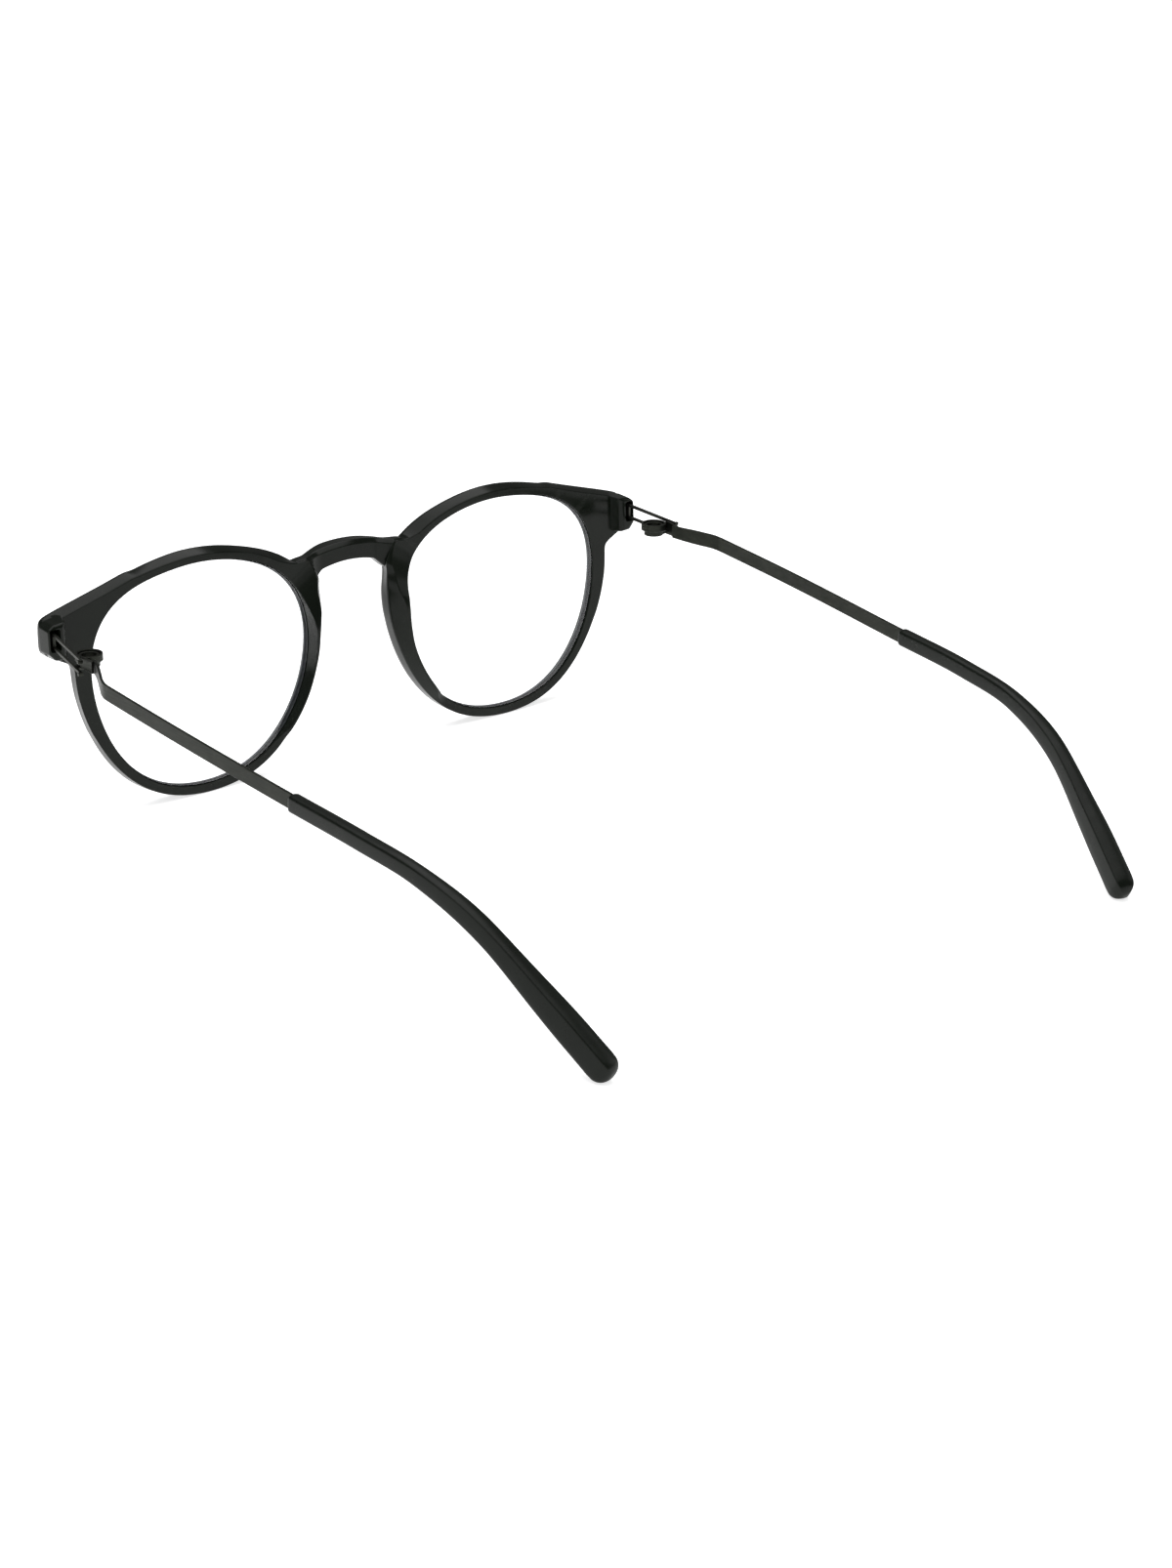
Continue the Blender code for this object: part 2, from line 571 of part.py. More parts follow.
def sleeve_loop(side, y, scale, shift=0.0, steps=16):
    centre, up, out, tangent = temple_frame(y)
    centre = centre + tangent * shift
    height, thickness = section_size(y)
    loop = []
    for i in range(steps):
        a = 2.0 * math.pi * i / steps
        c, s = math.cos(a), math.sin(a)
        e = 2.0 / 2.6
        px = 0.5 * thickness * scale * math.copysign(abs(c) ** e, c)
        py = 0.5 * height * scale * math.copysign(abs(s) ** e, s)
        p = centre + out * px + up * py
        loop.append((side * p.x, p.y, p.z))
    return loop


def build_tip(side, label, mat, pivot):
    """The acetate temple tip: a sleeve over the arm's core that widens into a paddle."""
    last = SLEEVE_SECTIONS[-1][0]
    ys = [SLEEVE_START + 0.35, 82.5, 90.0, 98.0, 104.0, 109.0, 113.0, 117.0, 121.0, 125.0, 129.0, 133.0, 137.0, 140.5]
    loops = [sleeve_loop(side, SLEEVE_START, 0.86)] + [sleeve_loop(side, y, 1.0) for y in ys]
    radius = 2.3
    for i in range(5):
        a = 0.5 * math.pi * i / 5.0
        loops.append(sleeve_loop(side, last, math.cos(a) * 0.98, radius * math.sin(a) - 1.0))
    points, faces = loft(loops)
    centre = temple_point(SLEEVE_START)
    tip = mesh_object("temple_tip_" + label, points, faces, mat, origin=(side * centre.x, centre.y, centre.z), parent=pivot)
    gap = 0.26
    cut = [strip_loop(side, y, CORE_HEIGHT + gap, SHEET + gap) for y in (SLEEVE_START - 0.6, 78.0, 84.0, 90.0, 95.0, 99.0, 103.0, 107.0, CORE_END + 0.5)]
    points, faces = loft(cut)
    cutter = mesh_object("core_guide_" + label, points, faces, None, guide=True)
    boolean(tip, cutter, "DIFFERENCE")
    return tip


# ---------------------------------------------------------------- assembly
def main():
    clear_scene()
    acetate = material("black_acetate", (0.012, 0.014, 0.012), 0.18)
    clear = material("clear_lens", (0.98, 0.99, 0.98), 0.02, transmission=1.0)
    steel = material("black_steel", (0.045, 0.045, 0.038), 0.42, metallic=0.9)
    build_front(acetate)
    for side, label in ((1.0, "left"), (-1.0, "right")):
        pivot = bpy.data.objects.new("hinge_axis_" + label, None)
        bpy.context.scene.collection.objects.link(pivot)
        pivot.location = place(side * PIVOT_X, PIVOT_Y, 0.5 * (RING_BOTTOM + RING_TOP))
        build_lens(side, label, clear)
        build_fork(side, label, steel)
        build_coil(side, label, steel, pivot)
        build_arm(side, label, steel, pivot)
        build_tip(side, label, acetate, pivot)


main()
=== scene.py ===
"""Looks of the eyeglasses: fine meshes, materials, floor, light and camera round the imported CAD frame.

The shape laws are the CAD's own, in its working frame: millimetres, x towards the wearer's left,
y towards the ears, z up, y = 0 on the flat back face of the front, z = 0 at the lens centres.
"""

import math

import bpy
import bmesh
from mathutils import Matrix, Vector


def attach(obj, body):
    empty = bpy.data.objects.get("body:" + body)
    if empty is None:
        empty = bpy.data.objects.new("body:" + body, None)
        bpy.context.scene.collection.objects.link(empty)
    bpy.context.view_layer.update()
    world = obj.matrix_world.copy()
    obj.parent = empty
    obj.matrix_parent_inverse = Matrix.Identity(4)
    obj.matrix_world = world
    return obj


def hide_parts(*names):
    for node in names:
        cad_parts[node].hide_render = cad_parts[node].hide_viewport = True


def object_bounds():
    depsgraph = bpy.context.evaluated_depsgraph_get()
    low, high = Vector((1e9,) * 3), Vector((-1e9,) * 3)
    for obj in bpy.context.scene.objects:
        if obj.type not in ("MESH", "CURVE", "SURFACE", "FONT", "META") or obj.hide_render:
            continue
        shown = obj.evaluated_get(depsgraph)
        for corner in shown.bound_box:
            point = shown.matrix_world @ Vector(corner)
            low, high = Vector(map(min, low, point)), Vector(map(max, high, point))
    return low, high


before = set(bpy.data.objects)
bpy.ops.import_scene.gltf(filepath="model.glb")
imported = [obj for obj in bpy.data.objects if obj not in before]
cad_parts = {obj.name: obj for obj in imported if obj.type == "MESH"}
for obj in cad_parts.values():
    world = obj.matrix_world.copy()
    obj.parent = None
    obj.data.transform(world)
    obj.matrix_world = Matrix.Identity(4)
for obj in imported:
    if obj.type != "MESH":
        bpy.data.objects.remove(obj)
CAD_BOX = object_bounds()
scene = bpy.context.scene

# ---------------------------------------------------------------- shape constants (mm)
LENS_CENTRE_X = 33.5
LENS_CENTRE_HEIGHT = 22.67
MID_Y = 68.96
FRONT_TILT = math.radians(2.85)
REST_PITCH = math.radians(1.00)

OPENING_RADIUS = 22.04
OPENING_HARMONICS = ((0.06, 0.40), (1.03, 0.04), (-0.10, 0.82), (-0.35, 0.04), (-0.07, 0.12), (-0.07, -0.02), (0.0, -0.06))

FRONT_THICKNESS = 3.75
DOME_DEPTH = 1.75
RIM_WIDTH = 1.72
BACK_EDGE = 0.2
FRONT_WIDENINGS = ((90.0, 50.0, 0.50), (12.0, 24.0, 0.85), (325.0, 38.0, 0.28), (268.0, 32.0, -0.11))
BACK_WIDENINGS = ((90.0, 48.0, -0.32), (10.0, 30.0, 1.35), (268.0, 32.0, -0.03))

END_TOP_X, END_TOP_Z, END_TOP_SLOPE = 62.0, 16.68, -0.275
END_TOP_BACK_DROP = 0.85
END_SIDE_X = 65.4
END_SIDE_FRONT = 65.15
END_UNDER_X, END_UNDER_Z, END_UNDER_SLOPE = 62.3, 8.15, 0.45
END_BLOCK_X, END_BLOCK_RISE = 60.6, 2.3

# nasal side of a rim with its carved pad: angle about the lens centre (degrees),
# added width at the back, added width at the front, set-back of the crest from the back's
# outline, height of the crest behind the back face
NASAL = (
    (96.0, 0.0, 0.0, 0.2, 0.0), (105.0, 0.0, 0.03, 0.2, 0.0), (112.0, 0.0, 0.09, 0.2, 0.0), (120.0, 0.0, 0.26, 0.2, 0.0),
    (130.0, 0.05, 0.70, 0.2, 0.0), (135.0, 0.17, 1.00, 0.2, 0.0), (138.0, 0.55, 1.20, 0.2, 0.0), (141.0, 1.25, 1.42, 0.2, 0.0),
    (143.0, 2.05, 1.65, 0.2, 0.0), (145.6, 3.75, 2.2, 0.2, 0.0), (150.0, 3.65, 2.8, 0.5, 0.22), (153.3, 3.55, 2.7, 0.9, 0.5),
    (157.5, 2.65, 1.9, 1.17, 0.98), (161.0, 2.24, 1.58, 1.33, 1.55), (164.0, 1.90, 1.48, 1.5, 2.1), (167.0, 1.57, 1.32, 1.85, 2.6),
    (173.0, 1.15, 0.95, 2.2, 2.95), (180.0, 0.77, 0.53, 2.0, 2.85), (190.0, 0.28, 0.2, 1.55, 2.5), (200.0, 0.07, 0.06, 1.38, 2.35),
    (215.0, 0.0, 0.0, 1.27, 2.0), (221.0, 0.0, 0.0, 1.0, 1.4), (226.0, 0.0, 0.0, 0.55, 0.4), (231.0, 0.0, 0.0, 0.2, 0.0),
)

GROOVE_Y, GROOVE_HALF, GROOVE_DEPTH = -1.3, 0.68, 0.68
LENS_THICKNESS = 1.8
LENS_BULGE = 1.5
LENS_CLEARANCE = 0.12

BRIDGE_TOP, BRIDGE_UNDER = 17.95, 14.3
BRIDGE_TOP_DROP, BRIDGE_UNDER_DROP = 0.0150, 0.022
BRIDGE_BACK, BRIDGE_FRONT = -1.5, -5.8
BRIDGE_HALF = 12.9

PIVOT_X, PIVOT_Y = 62.8, 10.6
RING_OUTER, RING_INNER = 2.4, 1.98
RING_BOTTOM, RING_TOP = 11.5, 12.8
BARREL_OUTER, BARREL_INNER, BARREL_TOP = 1.85, 1.35, 12.55
SHEET = 0.5
FORK_X0, FORK_LEAN = 64.1, 0.137
FORK_FALL = 0.10
FORK_END_Y = 13.6
STRUT_HEIGHT = 0.5
STRUT_TOP_Z, STRUT_LOW_Z = 14.05, 11.65
SLOT_WIDTH, SLOT_OUTER, SLOT_DEPTH = 1.7, 0.62, 2.7

ARM_HEIGHT = 2.7
CORE_HEIGHT = 1.9
SLEEVE_START = 77.5
CORE_END = 112.0
TEMPLE_STATIONS = ((23.6, 68.0, 10.8), (45.0, 67.4, 9.2), (77.0, 65.7, 6.6), (95.0, 64.6, 5.2), (108.0, 63.3, 3.4), (120.0, 61.2, -1.1), (132.0, 58.1, -9.8), (143.0, 55.0, -18.45))
SLEEVE_SECTIONS = ((77.5, 3.2, 2.25), (104.0, 3.2, 2.3), (122.0, 3.65, 2.85), (138.0, 4.8, 3.8), (143.0, 4.85, 3.85))

MM = 0.001
PITCH_C, PITCH_S = math.cos(REST_PITCH), math.sin(REST_PITCH)


def place(x, y, z):
    return Vector((x * MM, (y * PITCH_C + z * PITCH_S - MID_Y) * MM, (z * PITCH_C - y * PITCH_S + LENS_CENTRE_HEIGHT) * MM))


def turn(v):
    """A direction of the working frame in the object's frame."""
    return Vector((v[0], v[1] * PITCH_C + v[2] * PITCH_S, v[2] * PITCH_C - v[1] * PITCH_S))


def tilt(x, y, z):
    c, s = math.cos(FRONT_TILT), math.sin(FRONT_TILT)
    return x, y * c - z * s, y * s + z * c


def smooth(t):
    t = min(1.0, max(0.0, t))
    return t * t * (3.0 - 2.0 * t)


def mix(a, b, t):
    return a + (b - a) * t


def soft_max(a, b, k):
    return 0.5 * (a + b + math.sqrt((a - b) ** 2 + k * k))


def soft_min(a, b, k):
    return 0.5 * (a + b - math.sqrt((a - b) ** 2 + k * k))


def wrap(degrees):
    return (degrees + 180.0) % 360.0 - 180.0


# ---------------------------------------------------------------- mesh helpers
def loft(sections, closed=False):
    n, m = len(sections), len(sections[0])
    points = [p for loop in sections for p in loop]
    faces = []
    for i in range(n if closed else n - 1):
        a, b = i * m, (i + 1) % n * m
        faces += [(a + j, a + (j + 1) % m, b + (j + 1) % m, b + j) for j in range(m)]
    if not closed:
        faces.append(tuple(range(m))[::-1])
        faces.append(tuple((n - 1) * m + j for j in range(m)))
    return points, faces


def make(name, points, faces):
    mesh = bpy.data.meshes.new(name)
    mesh.from_pydata([place(*p) for p in points], [], faces)
    bm = bmesh.new()
    bm.from_mesh(mesh)
    bmesh.ops.recalc_face_normals(bm, faces=bm.faces)
    if bm.calc_volume(signed=True) < 0.0:
        bmesh.ops.reverse_faces(bm, faces=bm.faces)
    bm.to_mesh(mesh)
    bm.free()
    obj = bpy.data.objects.new(name, mesh)
    scene.collection.objects.link(obj)
    return obj


def combine(obj, other, operation):
    """Applies a Boolean at once and removes the other object."""
    modifier = obj.modifiers.new("cut", "BOOLEAN")
    modifier.operation = operation
    modifier.solver = "EXACT"
    modifier.object = other
    apply_all(obj)
    mesh = other.data
    bpy.data.objects.remove(other, do_unlink=True)
    bpy.data.meshes.remove(mesh)


def apply_all(obj):
    bpy.context.view_layer.update()
    graph = bpy.context.evaluated_depsgraph_get()
    made = bpy.data.meshes.new_from_object(obj.evaluated_get(graph))
    old = obj.data
    obj.modifiers.clear()
    obj.data = made
    made.name = obj.name
    bpy.data.meshes.remove(old)


def soften(obj, width, segments=2, angle=35.0):
    """Small rounded edges on a sheet-metal piece."""
    modifier = obj.modifiers.new("edges", "BEVEL")
    modifier.width = width * MM
    modifier.segments = segments
    modifier.limit_method = "ANGLE"
    modifier.angle_limit = math.radians(angle)
    modifier.use_clamp_overlap = True
    modifier.harden_normals = False
    apply_all(obj)


def shade(obj, angle=32.0):
    mesh = obj.data
    mesh.shade_smooth()
    mesh.set_sharp_from_angle(angle=math.radians(angle))
    modifier = obj.modifiers.new("normals", "WEIGHTED_NORMAL")
    modifier.keep_sharp = True
    modifier.weight = 60
    apply_all(obj)


def rounded(corners, segments=3):
    """A closed polygon's points with its corners rounded: rows are (x, y, radius), 0 for a plain point."""
    out = []
    n = len(corners)
    for i, (x, y, radius) in enumerate(corners):
        if radius <= 0.0:
            out.append((x, y))
            continue
        p = Vector((x, y))
        before = Vector(corners[i - 1][:2]) - p
        after = Vector(corners[(i + 1) % n][:2]) - p
        lb, la = before.length, after.length
        if lb < 1e-6 or la < 1e-6:
            out += [(x, y)] * (segments + 1)
            continue
        before /= lb
        after /= la
        half = 0.5 * before.angle(after)
        if half > math.radians(89.0):
            reach = min(radius * 0.2, 0.4 * lb, 0.4 * la)
        else:
            reach = min(radius / math.tan(half), 0.46 * lb, 0.46 * la)
        start, end = p + before * reach, p + after * reach
        for k in range(segments + 1):
            t = k / segments
            # a quadratic arc through the corner's own control point, close to a circle here
            q = start * (1 - t) ** 2 + p * (2 * t * (1 - t)) + end * t**2
            out.append((q.x, q.y))
    return out


# ---------------------------------------------------------------- front
def opening(angle):
    return OPENING_RADIUS + sum(
        c * math.cos((k + 1) * angle) + s * math.sin((k + 1) * angle)
        for k, (c, s) in enumerate(OPENING_HARMONICS)
    )


def widened(angle, places):
    degrees = math.degrees(angle)
    return RIM_WIDTH + sum(add * math.exp(-((wrap(degrees - at) / half) ** 2)) for at, half, add in places)


def end_piece(angle, drop, side_x):
    c, s = math.cos(angle), math.sin(angle)
    if c <= 0.05:
        return 0.0
    side = (side_x - LENS_CENTRE_X) / c
    top_at_centre = END_TOP_Z - drop - END_TOP_SLOPE * (END_TOP_X - LENS_CENTRE_X)
    top = top_at_centre / (s - END_TOP_SLOPE * c) if s - END_TOP_SLOPE * c > 0.01 else 1e3
    under_at_centre = END_UNDER_Z - END_UNDER_SLOPE * (END_UNDER_X - LENS_CENTRE_X)
    steep = s - END_UNDER_SLOPE * c
    under = under_at_centre / steep if steep < -0.02 else 1e3
    reach = soft_min(soft_min(side, min(top, 60.0), 1.4), min(under, 60.0), 2.6)
    return reach - 4.0 * smooth((math.degrees(angle) - 56.0) / 18.0)


def between(rows, at):
    """Monotone cubic values of the columns after the first, flat beyond the first and last rows."""
    n = len(rows)
    if at <= rows[0][0]:
        return rows[0][1:]
    if at >= rows[-1][0]:
        return rows[-1][1:]
    i = max(k for k in range(n - 1) if rows[k][0] <= at)

    def grade(k, column):
        if k in (0, n - 1):
            return 0.0
        before = (rows[k][column] - rows[k - 1][column]) / (rows[k][0] - rows[k - 1][0])
        after = (rows[k + 1][column] - rows[k][column]) / (rows[k + 1][0] - rows[k][0])
        return 0.0 if before * after <= 0.0 else 2.0 * before * after / (before + after)

    step = rows[i + 1][0] - rows[i][0]
    t = (at - rows[i][0]) / step
    values = []
    for column in range(1, len(rows[0])):
        m0, m1 = grade(i, column) * step, grade(i + 1, column) * step
        values.append(
            (2 * t**3 - 3 * t**2 + 1) * rows[i][column] + (t**3 - 2 * t**2 + t) * m0
            + (-2 * t**3 + 3 * t**2) * rows[i + 1][column] + (t**3 - t**2) * m1
        )
    return values


def rim_section(angle, side):
    inner = opening(angle)
    front = widened(angle, FRONT_WIDENINGS)
    back = widened(angle, BACK_WIDENINGS)
    more_back, more_front, set_back, rise = between(NASAL, math.degrees(angle) % 360.0)
    front, back = front + more_front, back + more_back
    fillet = 0.5 + 2.3 * smooth((22.0 - abs(wrap(math.degrees(angle)))) / 7.0)
    front = soft_max(inner + front, end_piece(angle, 0.0, END_SIDE_FRONT), fillet) - inner
    back = soft_max(inner + back, end_piece(angle, END_TOP_BACK_DROP, END_SIDE_X), fillet) - inner
    dome_y = -(FRONT_THICKNESS - DOME_DEPTH)
    dome_in = min(1.6, 0.56 * front)
    dome_out = min(1.3, 0.40 * front)
    rear = max(back - set_back, 0.42)
    arc = [math.radians(90.0 * k / 8) for k in range(9)]
    corners = [(0.0, rise, 0.22)]
    corners += [(0.0, GROOVE_Y + GROOVE_HALF, 0.05), (GROOVE_DEPTH, GROOVE_Y, 0.03), (0.0, GROOVE_Y - GROOVE_HALF, 0.05)]
    corners += [(dome_in * (1.0 - math.cos(a)), dome_y - DOME_DEPTH * math.sin(a), 0.0) for a in arc]
    corners += [(front - dome_out * (1.0 - math.cos(a)), dome_y - DOME_DEPTH * math.sin(a), 0.0) for a in reversed(arc)]
    soft = smooth(rise / 2.5)
    corners += [(back, -BACK_EDGE, 0.14 + 0.9 * soft), (rear, rise, 0.14 + 0.16 * soft)]
    c, s = math.cos(angle), math.sin(angle)
    return [tilt(side * (LENS_CENTRE_X + (inner + r) * c), y, (inner + r) * s) for r, y in rounded(corners, 3)]


def rim_angles():
    angles, degrees = [], 0.0
    while degrees < 359.6:
        angles.append(math.radians(degrees))
        near = abs(wrap(degrees - 21.0))
        nasal = 136.0 < degrees < 170.0
        degrees += 0.6 if near < 9.0 else (0.75 if nasal else (1.0 if near < 22.0 else 1.5))
    return angles


def bridge_section(x):
    out = abs(x)
    top = BRIDGE_TOP - BRIDGE_TOP_DROP * x * x + 0.75 * smooth((out - 8.3) / 4.2)
    under = BRIDGE_UNDER - BRIDGE_UNDER_DROP * x * x - 1.5 * smooth((out - 5.5) / 3.2) + 4.9 * smooth((out - 9.2) / 4.2)
    back = BRIDGE_BACK + 1.45 * min(1.0, max(0.0, out - 5.6) / 3.9) ** 2
    front = BRIDGE_FRONT + 2.15 * smooth((out - 3.0) / 8.6)
    rb, rf = 0.55, 1.1
    corners = [
        (back, under + 0.1, 0.45), (back, top - 0.82, 0.25), (back - 0.75, top - 0.05, 0.5),
        (front + rf, top, 0.9), (front + 0.3 * rf, top - 0.3 * rf, 0.6), (front, top - rf, 0.9),
        (front, under + rf, 0.9), (front + 0.3 * rf, under + 0.3 * rf, 0.6), (front + rf, under, 0.9),
        (back - 0.5, under - 0.05, 0.45),
    ]
    return [tilt(x, y, z) for y, z in rounded(corners, 4)]


def end_block(side):
    """The thicker outer end of the end piece, with a rounded rear face."""
    loops = []
    rows = [(-1.2, 0.0), (END_BLOCK_RISE - 0.62, 0.0)]
    for k in range(1, 7):
        a = math.radians(15.0 * k)
        rows.append((END_BLOCK_RISE - 0.62 * (1.0 - math.sin(a)), -0.62 * (1.0 - math.cos(a))))
    for y, grow in rows:
        lean = 0.70 * max(0.0, y)
        fall = 0.1 * (y + BACK_EDGE)
        x0, x1 = END_BLOCK_X + lean - grow, END_SIDE_X - 0.06 + grow
        low0, low1 = END_UNDER_Z + 0.75 - grow, END_UNDER_Z + 2.2 - grow
        top0 = END_TOP_Z + END_TOP_SLOPE * (x0 - END_TOP_X) - END_TOP_BACK_DROP - fall + grow
        top1 = END_TOP_Z + END_TOP_SLOPE * (x1 - END_TOP_X) - 0.95 - fall + grow
        outline = rounded([
            (x0, low0, 0.35), (x1 - 1.15, low0 + 0.1, 0.9), (x1, low1, 0.9), (x1, top1, 0.8), (x1 - 1.1, top1 + 0.78, 0.8), (x0, top0, 0.35),
        ], 5)
        loops.append([tilt(side * x, y, z) for x, z in outline])
    return make("end_block", *loft(loops))


def fork_point(side, along, across, z):
    lean = math.atan(FORK_LEAN)
    return (
        side * (FORK_X0 + along * math.sin(lean) + across * math.cos(lean)),
        along * math.cos(lean) - across * math.sin(lean),
        z,
    )


def bar(name, side, along, across, low, high):
    loops = []
    for a, lo, hi in ((along[0], low[0], high[0]), (along[1], low[1], high[1])):
        loops.append([fork_point(side, a, c, z) for c, z in ((across[0], lo), (across[1], lo), (across[1], hi), (across[0], hi))])
    return make(name, *loft(loops))


def slot_cutter(side):
    middle = 0.5 * (STRUT_TOP_Z + STRUT_LOW_Z)
    tall = 0.5 * (STRUT_TOP_Z - STRUT_LOW_Z) + 0.6
    loops = []
    for along, grow in ((-SLOT_DEPTH, 0.0), (0.9, 0.0), (1.35, 0.12), (4.0, 0.9)):
        inner, outer = SLOT_OUTER - SLOT_WIDTH - grow, SLOT_OUTER + grow
        outline = rounded([
            (inner, middle - tall - grow, 0.5), (outer, middle - tall - grow, 0.5), (outer, middle + tall + grow, 0.5), (inner, middle + tall + grow, 0.5),
        ], 5)
        loops.append([fork_point(side, along, c, z) for c, z in outline])
    return make("slot", *loft(loops))


def build_front():
    rims = []
    for side in (1.0, -1.0):
        rims.append(make("rim", *loft([rim_section(a, side) for a in rim_angles()], closed=True)))
    steps = 72
    xs = [-BRIDGE_HALF + 2.0 * BRIDGE_HALF * i / steps for i in range(steps + 1)]
    bridge = make("bridge", *loft([bridge_section(x) for x in xs]))
    front = rims[0]
    combine(front, bridge, "UNION")
    combine(front, rims[1], "UNION")
    for side in (1.0, -1.0):
        combine(front, end_block(side), "UNION")
        combine(front, slot_cutter(side), "DIFFERENCE")
    front.name = "acetate_front"
    shade(front)
    return front


# ---------------------------------------------------------------- lenses
def build_lens(side, label):
    half = 0.5 * LENS_THICKNESS
    steps = 192

    def level(fraction, y, beyond):
        loop = []
        for i in range(steps):
            a = 2.0 * math.pi * i / steps
            r = (opening(a) + beyond) * fraction
            loop.append(tilt(side * (LENS_CENTRE_X + r * math.cos(a)), y - LENS_BULGE * (1.0 - fraction * fraction), r * math.sin(a)))
        return loop

    body, ridge = -LENS_CLEARANCE, GROOVE_DEPTH - 2.0 * LENS_CLEARANCE
    fractions = [k / 14.0 for k in range(1, 15)]
    loops = [level(f, GROOVE_Y + half, body) for f in fractions]
    edge_from = len(loops) - 1
    loops += [level(1.0, GROOVE_Y + 0.42, body), level(1.0, GROOVE_Y, ridge), level(1.0, GROOVE_Y - 0.42, body)]
    loops += [level(1.0, GROOVE_Y - half + 0.09, body), level(0.9965, GROOVE_Y - half + 0.01, body)]
    edge_to = len(loops) - 1
    loops += [level(f, GROOVE_Y - half, body) for f in reversed(fractions[:-1])]
    points = [p for loop in loops for p in loop]
    faces = []
    for k in range(len(loops) - 1):
        a, b = k * steps, (k + 1) * steps
        faces += [(a + j, a + (j + 1) % steps, b + (j + 1) % steps, b + j) for j in range(steps)]
    back_pole, front_pole = len(points), len(points) + 1
    points.append(tilt(side * LENS_CENTRE_X, GROOVE_Y - LENS_BULGE + half, 0.0))
    points.append(tilt(side * LENS_CENTRE_X, GROOVE_Y - LENS_BULGE - half, 0.0))
    last = (len(loops) - 1) * steps
    faces += [(back_pole, (j + 1) % steps, j) for j in range(steps)]
    faces += [(front_pole, last + j, last + (j + 1) % steps) for j in range(steps)]
    lens = make("lens_glass_" + label, points, faces)
    for face in lens.data.polygons:
        row = face.index // steps
        if edge_from <= row < edge_to - 1:
            face.material_index = 1
        # this ring of the lens edge takes the painted-highlight bevel material
        elif row == edge_to - 1:
            face.material_index = 2
    lens.data.shade_smooth()
    lens.data.set_sharp_from_angle(angle=math.radians(30.0))
    for mat in (LENS, LENS_EDGE, LENS_BEVEL_PAINTED_HIGHLIGHT):
        lens.data.materials.append(mat)
    return lens


# ---------------------------------------------------------------- hinge
def disc(centre, radius, z, steps):
    return [(centre[0] + radius * math.cos(2.0 * math.pi * i / steps), centre[1] + radius * math.sin(2.0 * math.pi * i / steps), z) for i in range(steps)]


def tube(name, side, outer, inner, low, high, steps=72):
    centre = (side * PIVOT_X, PIVOT_Y)
    e = 0.07
    rows = ((outer, low + e), (outer, high - e), (outer - e, high), (inner + e, high), (inner, high - e), (inner, low + e), (inner + e, low), (outer - e, low))
    return make(name, *loft([disc(centre, r, z, steps) for r, z in rows], closed=True))


def strut_z(start, along):
    return start - FORK_FALL * along


def build_fork(side, label):
    half = 0.5 * SHEET
    strut = 0.5 * STRUT_HEIGHT
    outline = []
    for along, start, edge in (
        (-2.4, STRUT_LOW_Z, -1.0), (FORK_END_Y, STRUT_LOW_Z, -1.0), (FORK_END_Y, STRUT_LOW_Z, 1.0), (1.4, STRUT_LOW_Z, 1.0),
        (1.4, STRUT_TOP_Z, -1.0), (FORK_END_Y, STRUT_TOP_Z, -1.0), (FORK_END_Y, STRUT_TOP_Z, 1.0), (-2.4, STRUT_TOP_Z, 1.0),
    ):
        outline.append((along, strut_z(start, along) + edge * strut))
    loops = [[fork_point(side, along, across, z) for along, z in outline] for across in (-half, half)]
    fork = make("hinge_fork_sheet_" + label, *loft(loops))
    for start, nudge in ((STRUT_TOP_Z, -0.08), (STRUT_LOW_Z, 0.08)):
        tab = strut_z(start, FORK_END_Y) + nudge
        combine(fork, bar("tab", side, (FORK_END_Y - 0.45, FORK_END_Y + 0.1), (-half + 0.05, half + 0.4), (tab - 0.29, tab - 0.29), (tab + 0.29, tab + 0.29)), "UNION")
    low = strut_z(STRUT_LOW_Z, PIVOT_Y) - strut + 0.05
    x_in, x_out = PIVOT_X - 0.2, FORK_X0 + FORK_LEAN * PIVOT_Y
    corners = [(x_in + 1.6, -0.8), (x_out, -0.8), (x_out, 0.8), (x_in + 1.6, 0.8)]
    loops = [[(side * x, PIVOT_Y + y, z) for x, y in corners] for z in (low, low + 0.42)]
    combine(fork, make("lug", *loft(loops)), "UNION")
    soften(fork, 0.07)
    combine(fork, tube("barrel", side, BARREL_OUTER, BARREL_INNER, low + 0.1, BARREL_TOP), "UNION")
    shade(fork, 40.0)
    return fork


def build_coil(side, label):
    coil = tube("hinge_coil_ring_" + label, side, RING_OUTER, RING_INNER, RING_BOTTOM, RING_TOP)
    middle = 0.5 * (RING_BOTTOM + RING_TOP)
    path = [
        (PIVOT_X + 2.19, PIVOT_Y - 0.1, middle, 1.1),
        (PIVOT_X + 2.22, PIVOT_Y + 0.7, middle - 0.05, 1.3),
        (PIVOT_X + 2.24, PIVOT_Y + 1.3, middle - 0.10, 1.9),
        (PIVOT_X + 2.22, PIVOT_Y + 2.3, middle - 0.18, 2.1),
        (PIVOT_X + 2.08, PIVOT_Y + 3.4, middle - 0.28, 2.1),
        (PIVOT_X + 2.04, PIVOT_Y + 4.7, middle - 0.36, 2.1),
    ]
    loops = []
    for i, (x, y, z, height) in enumerate(path):
        before, after = path[max(i - 1, 0)], path[min(i + 1, len(path) - 1)]
        direction = Vector((after[0] - before[0], after[1] - before[1])).normalized()
        across = Vector((direction.y, -direction.x)) * 0.21
        section = rounded([(-1.0, -0.5 * height, 0.08), (1.0, -0.5 * height, 0.08), (1.0, 0.5 * height, 0.08), (-1.0, 0.5 * height, 0.08)], 2)
        loops.append([(side * (x + s * across.x), y + s * across.y, z + u) for s, u in section])
    combine(coil, make("plate", *loft(loops)), "UNION")
    shade(coil, 40.0)
    return coil


